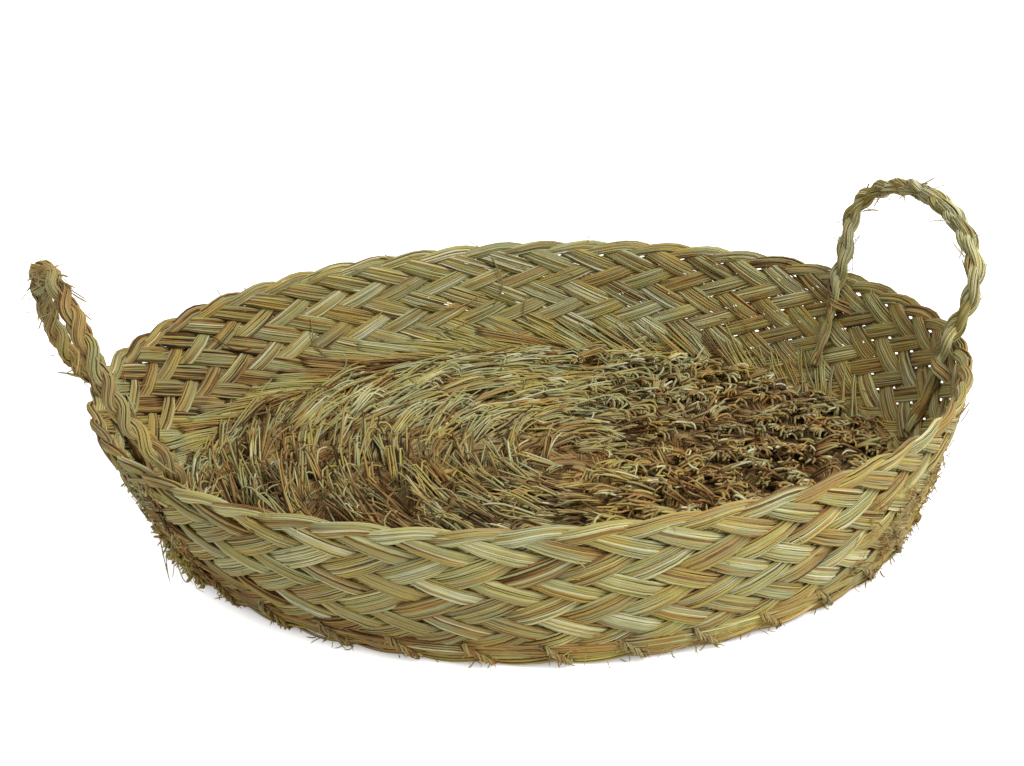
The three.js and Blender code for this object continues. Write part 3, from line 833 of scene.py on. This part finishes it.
def rope_line(rope):
    """A rope's centre line from tail to tail in mm, its hinge's place and axis, and the way it rises."""
    hinge_name = f"{rope['side']}_handle_tilt"
    joint = next(j for j in frame["record"]["behaviour"]["joints"] if j["name"] == hinge_name)
    hinge = np.array(joint["pos_m"]) / MM
    axis = unit(np.array(joint["axis"], float))
    lean = math.radians(rope["lean"])
    rising = UP * math.cos(lean) + np.cross(axis, UP) * math.sin(lean)
    rise = rope["rise"]
    leg = rope["span"] / 2
    knee = leg + rope["swell"]
    half = np.concatenate([
        [(-leg, -LEG_BELOW)],
        bezier([(-leg, LEG_BELOW), (-leg, rise / 4), (-knee, rise / 4), (-knee, rise / 2)]),
        bezier([(-knee, rise / 2), (-knee, rise * 0.75), (-rope["crown"], rise), (0, rise)])])
    arch = np.concatenate([half, [(0, rise)], half[::-1] * (-1, 1)])
    arch = spaced(np.column_stack([arch, np.zeros(len(arch))]), ARCH_STEP)
    share = np.linspace(0, 1, len(arch))
    climb = 1 - np.abs(2 * share - 1)
    peak = rope["bow_place"]
    bow = (climb / peak) ** 1.5 * ((1 - climb) / (1 - peak)) ** (1.5 * (1 - peak) / peak)
    bow = bow * np.where(share < 0.5, *rope["bows"])
    loop = hinge + axis * arch[:, :1] + rising * arch[:, 1:2] + np.cross(axis, rising) * bow[:, None]
    foot_turn = math.asin(rope["span"] / RIM_WIDTH) / TURN
    tail_level = wall_level(TAIL_TOP + (TAIL_END - TAIL_TOP) * TAIL_DEPTHS)
    tail_offset = -TAIL_OFFSET + TAIL_CLOSER * ease(0.0, 0.5, TAIL_DEPTHS)
    tails = []
    for way in (-1, 1):
        column = COLUMNS * (rope["middle"] / 360 + way * (foot_turn - TAIL_NEARER * TAIL_DEPTHS ** 1.5))
        tails.append(wall_place(column, tail_level, tail_offset))
    line = np.concatenate([tails[0][::-1], loop, tails[1]])
    return smoothed(spaced(line, ROPE_STEP), ROPE_SMOOTHING), hinge, axis, rising


# %% Braid the ropes
ROPE_STRANDS = 3
STRAND_STRAWS = 26
STRAND_FILLING, FILLING_RING, FILLING_RADIUS = 8, 0.62, 0.85
STRAND_TWIST = 105
FRAME_SMOOTHING = 8
ROPE_WISPS, WISPS_FROM = 100, 8
ROPE_ENDS, ENDS_FROM = 34, 30
PIN_HEIGHT = 74


def add_rope(straws, line, axis, hinge, rope):
    """Adds the straws of a braided rope along a line."""
    along = unit(np.gradient(line, axis=0))
    over = np.cross(axis, along)
    for _ in range(FRAME_SMOOTHING):
        over[1:-1] = over[:-2] + over[1:-1] + over[2:]
        over = unit(over - along * (over * along).sum(1, keepdims=True))
    across = np.cross(along, over)
    reach = np.arange(len(line)) * np.linalg.norm(line[1] - line[0])
    height = line[:, 2] - hinge[2]
    full = 0.78 + 0.22 * ease(-22, 4, height)
    flat = 1 - 0.45 * ease(0, -16, height)
    taper = ease(0, 9, reach) * ease(0, 9, reach[-1] - reach)
    for strand in range(ROPE_STRANDS):
        phase = TURN * ((reach - reach[-1] / 2) / rope["period"] + strand / ROPE_STRANDS)
        core = (line + across * (full * rope["swing"] * np.sin(phase))[:, None]
                + over * (full * flat * rope["lift"] * np.sin(2 * phase))[:, None])
        core_along = unit(np.gradient(core, axis=0))
        ring_a = unit(np.cross(core_along, over))
        ring_b = np.cross(core_along, ring_a)
        strand_tone = near(rope["tones"][strand], 0.03)
        for straw in range(STRAND_STRAWS + STRAND_FILLING):
            outer = straw < STRAND_STRAWS
            angle = TURN * (straw / (STRAND_STRAWS if outer else STRAND_FILLING) + reach / STRAND_TWIST)
            angle = angle + 0.32 * np.sin(reach / draw(14, 24) + some_phase())
            ring = rope["ring"] * (1 if outer else FILLING_RING)
            ring = full * (ring + 0.30 * np.sin(reach / draw(9, 16) + some_phase()))
            ring = ring * (0.55 + 0.45 * taper)
            radius = draw(0.34, 0.60) if outer else FILLING_RADIUS
            tone = mottled(reach, every=38, usual=strand_tone + jitter(0.05), spread=0.11,
                           dark_share=0.15, dark=(0.18, 0.40))
            # Painted shade: the tails are darker further below the hinge, where they run down inside the
            # wall.
            tone = tone - 0.24 * ease(0, -30, height)
            straws.add(core + ringed(ring_a, ring_b, ring, angle, flat), radius, np.clip(tone, 0.03, 0.98))


def wisp(start, way, length, droop, points=5):
    """A thin stray fibre that leaves a piece and bends a little on its way."""
    share = np.linspace(0, 1, points)[:, None]
    side = unit(np.cross(way, grain.normal(size=3)))
    bend = side * draw(-0.5, 0.5) - UP * droop
    return start + length * (way * share + bend * share ** 2)


def crumpled(start, way, tilt, lengths, turning, points=7):
    """A short end of grass that curls on its way, about an axis tilted off the outward way."""
    about = unit(outwards(start) + tilt * grain.normal(size=3))
    length = draw(*lengths)
    angle = jitter(turning) * (np.arange(points - 1) + 0.5)[:, None] / (points - 1)
    steps = way * np.cos(angle) + np.cross(about, way) * np.sin(angle)
    steps = steps + about * (about @ way) * (1 - np.cos(angle))
    return start + np.concatenate([[[0, 0, 0]], np.cumsum(steps, axis=0)]) * length / (points - 1)


pin_places = []
for rope in ROPES:
    side = rope["side"]
    half = rope["swing"] + rope["ring"]
    line, hinge, axis, rising = rope_line(rope)
    straws = Straws()
    add_rope(straws, line, axis, hinge, rope)
    for _ in range(ROPE_WISPS):
        at = grain.integers(WISPS_FROM, len(line) - WISPS_FROM)
        forwards = unit(line[at + 1] - line[at]) * grain.choice([-1, 1])
        way = unit(forwards * draw(0.4, 1.6) + grain.normal(size=3))
        fibre = wisp(line[at] + 0.85 * half * way, way, length=draw(4, 15), droop=0.2)
        straws.add_fibre(fibre, radii=(0.14, 0.3), tones=(0.2, 0.7))
    for _ in range(ROPE_ENDS):
        at = grain.integers(ENDS_FROM, len(line) - ENDS_FROM)
        forwards = unit(line[at + 1] - line[at]) * grain.choice([-1, 1])
        aside = unit(np.cross(forwards, grain.normal(size=3)))
        way = unit(forwards + aside * draw(0.15, 0.6))
        end = wisp(line[at] + 0.75 * half * aside, way, length=draw(9, 20), droop=0.1)
        radius = draw(0.4, 0.6)
        straws.add(end, radius, tone=np.clip(near(rope["tones"][1], 0.12), 0.05, 0.95))
    for tail in np.split(line, [len(line) // 2]):
        pin_places.append(tail[np.abs(tail[:, 2] - PIN_HEIGHT).argmin()])
    piece = straw_piece(f"{side}_rope_handle", straws, rope_grass)
    strands = [f"{side}_{end}_strand_{n}" for end in ("handle", "first_tail", "second_tail")
               for n in (1, 2, 3)]
    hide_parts(*strands)
    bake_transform(piece)
    print(side, "rope", round(len(line) * ROPE_STEP), "mm")

# %% Pin the ropes' tails
PIN_LANES = np.linspace(-0.6, 0.6, 9)
PIN_REACH, PIN_SLANT = 1.5, 1.5
PIN_STAND_OFF = 13.6

straws = Straws()
share = np.linspace(-1, 1, 11)
for place in pin_places:
    column = COLUMNS / TURN * math.atan2(place[1] / RIM_WIDTH, place[0] / RIM_LENGTH)
    pin_tone = near(0.46, 0.06)
    for lane in PIN_LANES:
        rise = wall_level(place[2]) + lane - PIN_SLANT * share + jitter(0.05)
        offset = 0.5 - PIN_STAND_OFF * np.exp(-(share / 0.55) ** 2) - draw(0, 0.5)
        line = wall_place(column - PIN_REACH * share + 0.2 * lane, rise, offset)
        straws.add(line, radius=draw(0.5, 0.72), tone=np.clip(pin_tone + jitter(0.12), 0.05, 0.95))
piece = straw_piece("rope_pinning_straws", straws, wall_grass)
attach(piece, "basket")

# %% [markdown]
# ## The foot's edge and its lacing
# Round the foot the strands lie down in two yellow-brown bundles that wind round each other. A
# twisted cord sews this edge to the floor: out through the wall, slanting down the outside, under
# the foot and up again inside. Its path is the solid cord's own, with its corners worn off, and ten
# fibres wind round it. Cut fibre ends make the lower edge ragged.

# %% Wind the foot's edge
EDGE_BUNDLES, EDGE_STRAWS = 2, 10
EDGE_LEVEL, EDGE_OFFSET = 0.12, 1.9
EDGE_TURN, EDGE_SWING = 5.2, 1.7
EDGE_RING = 1.75
EDGE_POINTS, EDGE_RUN = 340, 26
NEAR_GROUND = 0.6

column = np.linspace(0, COLUMNS, EDGE_POINTS)
edge_middle = wall_place(column, EDGE_LEVEL, EDGE_OFFSET)
edge_out = unit(wall_place(column, EDGE_LEVEL, EDGE_OFFSET + 1.1) - edge_middle)
straws = Straws()
for bundle in range(EDGE_BUNDLES):
    wind = TURN * (column / EDGE_TURN + bundle / EDGE_BUNDLES)
    core = edge_middle + ringed(edge_out, UP, EDGE_SWING, wind)
    for straw in range(EDGE_STRAWS):
        angle = TURN * straw / EDGE_STRAWS + column / 9 + 0.4 * np.sin(column / 2.3 + straw)
        ring = EDGE_RING + 0.3 * np.sin(column / draw(1.2, 2.5) + some_phase())
        line = above_ground(core + ringed(edge_out, UP, ring, angle), NEAR_GROUND)
        for part in in_runs(line, EDGE_RUN, shortest=4, spare=6):
            straws.add(part, radius=draw(0.5, 0.72), tone=np.clip(near(0.46, 0.18), 0.04, 0.9))
piece = straw_piece("foot_edge_straws", straws, wall_grass)
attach(piece, "basket")

# %% Lace the foot
STITCHES = 37
LACING_HEIGHT, LACING_BOTTOM = 14, 1.9
LACING_MIDDLE = (LACING_HEIGHT + LACING_BOTTOM) / 2
LACING_OFFSET = 6.4
LACING_SLANT = 0.36
LACING_FIBRES = 10
LACING_RING = 1.5
LACING_STEP, LACING_TWIST = 3.4, 13
LACING_LOW = 0.7
KNOT_BITS = 7
FOOT_WISPS, FOOT_WISP_LOW = 340, 0.5
# The corners of one stitch: stitches along, height, and 1 outside the wall or -1 inside it.
STITCH_CORNERS = [
    (0, LACING_HEIGHT, -1), (0, LACING_HEIGHT, 0), (0, LACING_HEIGHT, 1),
    (LACING_SLANT / 2, LACING_MIDDLE, 1), (LACING_SLANT, LACING_BOTTOM, 1),
    (LACING_SLANT, LACING_BOTTOM, -1), ((1 + LACING_SLANT) / 2, LACING_MIDDLE, -1),
]


def foot_place(stitch, z, offset):
    """A place near the wall's foot in mm, counted in stitches round it."""
    return wall_place(stitch * COLUMNS / STITCHES, wall_level(z), offset)


route = np.array([foot_place(stitch + slant, z, face * LACING_OFFSET)
                  for stitch in range(STITCHES) for slant, z, face in STITCH_CORNERS])
route = smoothed(spaced(route, LACING_STEP), 2)
route_along = unit(np.gradient(route, axis=0))
route_a = unit(np.cross(route_along, UP + 0.01))
route_b = np.cross(route_along, route_a)
turns = np.arange(len(route)) * LACING_STEP / LACING_TWIST
straws = Straws()
for fibre in range(LACING_FIBRES):
    angle = TURN * (fibre / LACING_FIBRES + turns)
    angle = angle + 1.1 * np.sin(turns * draw(0.4, 1.2) + fibre)
    ring = LACING_RING * (1 + 0.35 * np.sin(turns * draw(0.7, 1.9) + some_phase()))
    line = above_ground(route + ringed(route_a, route_b, ring, angle), LACING_LOW)
    straws.add(line, radius=draw(0.40, 0.66),
               tone=np.clip(near(0.34, 0.10) + 0.10 * np.sin(turns / 7 + fibre), 0.05, 0.8))
for stitch in range(STITCHES):
    for _ in range(KNOT_BITS):
        down = draw(0, 1)
        start = foot_place(stitch + LACING_SLANT * down + jitter(0.04),
                           LACING_HEIGHT + (LACING_BOTTOM - LACING_HEIGHT) * down, LACING_OFFSET)
        way = way_off(start, along=jitter(1), up=jitter(1), out=draw(0, 0.3))
        line = crumpled(start, way, tilt=0.4, lengths=(4, 7), turning=2.4)
        straws.add_fibre(line, radii=(0.22, 0.42), tones=(0.18, 0.55), low=NEAR_GROUND)
for _ in range(FOOT_WISPS):
    near_stitch = grain.integers(STITCHES) + near(LACING_SLANT / 2, 0.12)
    stitch = near_stitch if grain.random() < 0.6 else draw(0, STITCHES)
    start = foot_place(stitch, draw(1.5, 12), LACING_OFFSET - 1.5)
    way = way_off(start, out=draw(0.1, 0.7), along=jitter(1.0), up=near(-0.2, 0.4))
    line = wisp(start, way, length=draw(3, 9), droop=0.3)
    straws.add_fibre(line, radii=(0.2, 0.45), tones=(0.15, 0.6), low=FOOT_WISP_LOW)
piece = straw_piece("foot_lacing_fibres", straws, rope_grass)
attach(piece, "basket")
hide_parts("foot_lacing")

# %% [markdown]
# ## The lap of the wall
# Below the left handle the plait's outer end lies over its beginning. Its strands are cut off there:
# each is a flat bundle that leaves the wall and rises over the start of the plait. Crumpled green ends
# stick out in clumps, bushier lower down, with dark straws between them and a few hairs. The dark
# straws are partly dark brown fibres and partly a painted shadow line beside the front wall's end.

# %% Cut the lap
LAP_COLUMN = 54.4
LAP_LEVELS = (0.6, 11.8)
LAP_BUNDLES, LAP_WIDTH = 11, 1.5
LAP_LANES = np.linspace(-1, 1, 9)
LAP_CLUMPS = (11.4, 10.3, 9.1, 7.8, 6.4, 5.1, 4.0, 3.0, 2.0, 1.1)
LAP_CLUMP_STRAWS = 44
LAP_DARK_FIBRES_AND_SHADOWS = 170
LAP_HAIRS, HAIR_POINTS = 9, 9

straws = Straws()
share = np.linspace(0, 1, 6)
for bundle in range(LAP_BUNDLES):
    level = np.interp(bundle, [0, LAP_BUNDLES - 1], LAP_LEVELS) + jitter(0.2)
    slant = 0.9 * (1 if bundle % 2 else -1) + jitter(0.15)
    bundle_tone = near(0.46, 0.10)
    for lane in LAP_LANES:
        column = LAP_COLUMN + LAP_WIDTH - (LAP_WIDTH + draw(-0.3, 0.25)) * share
        rise = level + slant * (share - 0.5) + lane * 0.5
        offset = 2.2 + 2.6 * ease(0, 0.7, share) + 1.6 * share ** 3 * draw(0, 1.6)
        straws.add(wall_place(column, rise, offset), radius=draw(0.45, 0.68),
                   tone=np.clip(bundle_tone + jitter(0.12) - 0.15 * share, 0.05, 0.95))
for clump_level in LAP_CLUMPS:
    bushy = ease(7.5, 4.5, clump_level)
    size = (0.8 + 0.3 * bushy) * draw(0.85, 1.2)
    clump_column = LAP_COLUMN + 0.35 * math.sin(1.7 * clump_level) + near(0.1, 0.2)
    clump_way = some_phase()
    clump_tone = near(0.62, 0.12)
    for _ in range(LAP_CLUMP_STRAWS):
        root = wall_place(clump_column + jitter(0.3), clump_level + jitter(0.5) * size,
                          3.0 + draw(0, 1.4 + 3.4 * bushy))
        aim = clump_way + jitter(0.8)
        way = way_off(root, along=math.sin(aim), up=math.cos(aim), out=draw(-0.1, 0.3 + 0.3 * bushy))
        line = crumpled(root, way, tilt=0.5, lengths=(4 * size, 9 * size), turning=1.9)
        radius = draw(0.42, 0.92)
        tone = clump_tone + jitter(0.14) - 0.34 * np.linspace(1, 0, len(line)) ** 2
        straws.add(above_ground(line, NEAR_GROUND), radius, np.clip(tone, 0.02, 0.95))
share = np.linspace(0, 1, 5)
# Dark straws along the lap: partly dark brown fibres, partly painted shade, a shadow line on the front
# side and dark gaps between the clumps.
for _ in range(LAP_DARK_FIBRES_AND_SHADOWS):
    middle = draw(*LAP_LEVELS)
    at_edge = grain.random() < 0.45
    beside = near(1.1 + 0.3 * math.sin(1.3 * middle), 0.2) if at_edge else near(0.1, 0.5)
    column = LAP_COLUMN + beside + jitter(0.5) * share
    rise = np.clip(middle + draw(0.5, 2.2) * (share - 0.5), 0.2 * share, 12.6)
    straws.add(wall_place(column, rise, 3.2 + draw(0, 1.8)), radius=draw(0.4, 0.75),
               tone=0.03 + grain.beta(1.2, 2.6) * 0.55)
for _ in range(LAP_HAIRS):
    start = wall_place(LAP_COLUMN + jitter(0.5), draw(1, 6), 5.5)
    way = way_off(start, along=draw(-0.4, 1), up=-0.5, out=0)
    line = wisp(start, way, length=draw(14, 30), droop=0.2, points=HAIR_POINTS)
    straws.add_fibre(line, radii=(0.16, 0.28), tones=(0.3, 0.7), low=NEAR_GROUND)
piece = straw_piece("wall_lap_straws", straws, wall_grass)
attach(piece, "basket")
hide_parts("wall_lap")

# %% [markdown]
# ## Stray straws
# Grass never lies quite still. Thin fibres stand off the wall, a few long straws cross its inside,
# dark hairs stand up from the rim, and at the right of the front the wall is frayed.

# %% Scatter the strays
STRAYS = 260
# From and to, each as column and level, and how far the straw sags between them.
LONG_STRAYS = [
    ((21.3, 12.6), (21.1, 6.0), (-0.5, 0.0)),
    ((30.6, 8.6), (30.2, 3.2), (0.4, 0.0)),
    ((25.0, 7.3), (21.6, 7.8), (0.0, -1.1)),
    ((19.4, 7.6), (18.6, 3.2), (0.5, 0.0)),
    ((25.3, 4.6), (22.2, 4.6), (0.0, -0.8)),
    ((36.5, 10.5), (34.0, 7.0), (0.4, -0.6)),
    ((9.0, 8.0), (7.2, 3.8), (-0.4, 0.3)),
]
# Column, the way along the rim and up, and length in mm.
RIM_HAIRS = [(25.5, 1, 0.5, 22), (25.8, 1, 0.8, 17), (21.6, 0.6, 0.9, 18), (16.8, -0.2, 1, 14),
             (16.2, -0.9, 0.5, 18), (33.0, 0.9, 0.6, 13), (7.0, -0.8, 0.7, 12)]
FRAYED_PLACES, FRAYED_STRAWS = 34, 9
FRAYED_COLUMNS, FRAYED_LEVELS = (83, 91), (1, 9.5)

straws = Straws()
for _ in range(STRAYS):
    column = draw(0, COLUMNS)
    level = LEVELS * (1 - grain.beta(0.7, 1.6)) + draw(0, 0.3)
    face = grain.choice([-1, 1])
    start = wall_place(column, level, face * 3.4)
    tip = wall_place(column + jitter(0.9), level + near(0.2, 0.6), face * draw(3.5, 7))
    line = wisp(start, unit(tip - start), length=draw(5, 17), droop=0.1)
    straws.add_fibre(line, radii=(0.18, 0.40), tones=(0.15, 0.8))
share = np.linspace(0, 1, 12)[:, None]
belly = np.sin(np.pi * share ** 1.3)
for first, last, sag in np.array(LONG_STRAYS):
    column, level = (first * (1 - share) + last * share + sag * belly).T
    offset = -4.2 - 1.6 * belly - 0.6 * np.sin(5 * share)
    straws.add_fibre(wall_place(column, level, offset[:, 0]), radii=(0.44, 0.6), tones=(0.14, 0.36))
for column, along, up, hair_length in RIM_HAIRS:
    start = wall_place(column, LEVELS - 0.3, 0.0)
    line = wisp(start, way_off(start, along, up, out=0), hair_length, droop=0.12, points=HAIR_POINTS)
    straws.add_fibre(line, radii=(0.24, 0.34), tones=(0.05, 0.3))
for _ in range(FRAYED_PLACES):
    column = draw(*FRAYED_COLUMNS)
    level = draw(*FRAYED_LEVELS)
    fray_tone = draw(0.22, 0.5)
    for _ in range(FRAYED_STRAWS):
        start = wall_place(column + jitter(0.3), level + jitter(0.5), 4.2)
        way = way_off(start, along=1, up=jitter(0.6), out=draw(0.1, 0.5))
        line = crumpled(start, way, tilt=0.5, lengths=(4, 8), turning=2.2)
        straws.add(above_ground(line, NEAR_GROUND), radius=draw(0.22, 0.42),
                   tone=np.clip(fray_tone + jitter(0.1), 0.05, 0.8))
piece = straw_piece("stray_straws", straws, wall_grass)
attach(piece, "basket")
